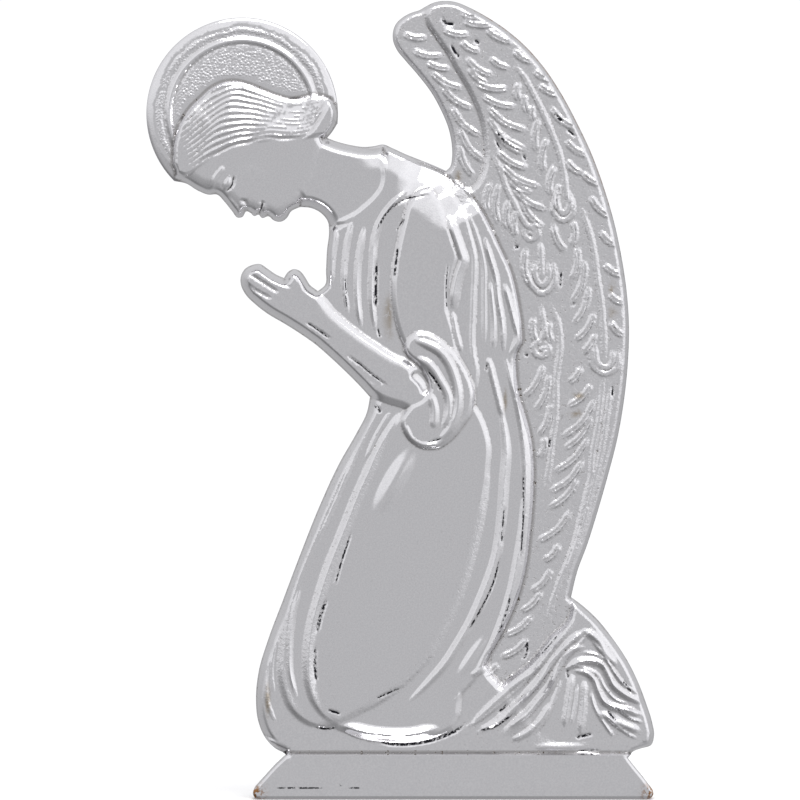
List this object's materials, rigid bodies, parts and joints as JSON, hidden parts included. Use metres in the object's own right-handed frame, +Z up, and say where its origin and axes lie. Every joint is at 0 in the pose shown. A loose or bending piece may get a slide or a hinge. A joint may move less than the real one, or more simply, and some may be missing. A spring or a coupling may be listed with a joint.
{
  "type": "kneeling angel figure",
  "caption": "Kneeling angel in profile with halo, praying hands and tall folded wings, cast in flat relief with a low flaring plinth it stands on.",
  "frame": {"origin": "middle of the plinth's underside in depth, under the middle of the figure's whole width", "axes": "+Z up from the plinth to the wing's tip, -Y out of the carved front, +X towards the wings and train"},
  "size_m": [0.127, 0.018, 0.199],
  "materials": {
    "plated_bronze": "bright silver-coloured plating over cast bronze, with small casting specks and bare bronze at the plinth's corners"
  },
  "bodies": {
    "root": {"kneeling_angel": "plated_bronze"}
  },
  "joints": []
}
